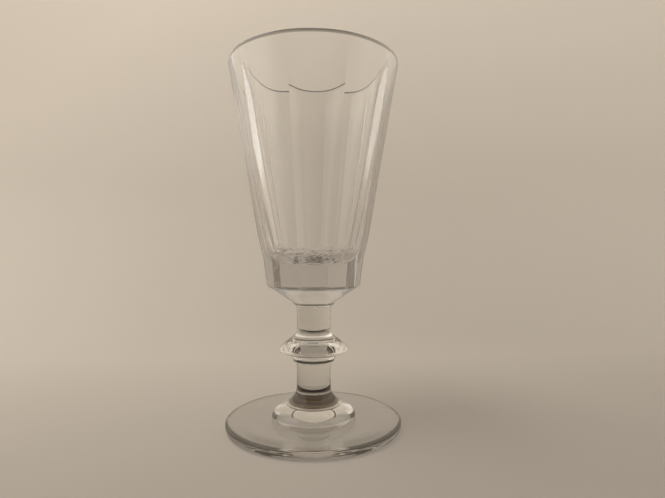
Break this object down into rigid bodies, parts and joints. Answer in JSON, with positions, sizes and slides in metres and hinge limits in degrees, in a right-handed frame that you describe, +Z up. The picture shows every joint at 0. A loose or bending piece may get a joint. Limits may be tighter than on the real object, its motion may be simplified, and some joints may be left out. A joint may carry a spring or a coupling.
{
  "type": "port glass",
  "caption": "Small stemmed glass for port: a cone-shaped bowl cut in flat panels with a thick solid base, a short stem with a bladed knop, and a round foot.",
  "frame": {"origin": "on the axis, in the plane of the flat ring that the foot rests on", "axes": "+Z up along the axis; one flat panel of the bowl faces -Y"},
  "size_m": [0.058, 0.058, 0.12],
  "materials": {
    "cut_glass": "clear glass, panels ground flat and polished, rim fire polished",
    "stem_glass": "clear glass, fire polished",
    "foot_glass": "clear glass, fire polished, worn matt where it rests"
  },
  "bodies": {
    "root": {"bowl": "cut_glass", "upper_stem": "stem_glass", "knop": "stem_glass", "lower_stem": "stem_glass", "collar": "stem_glass", "foot": "foot_glass"}
  },
  "joints": []
}
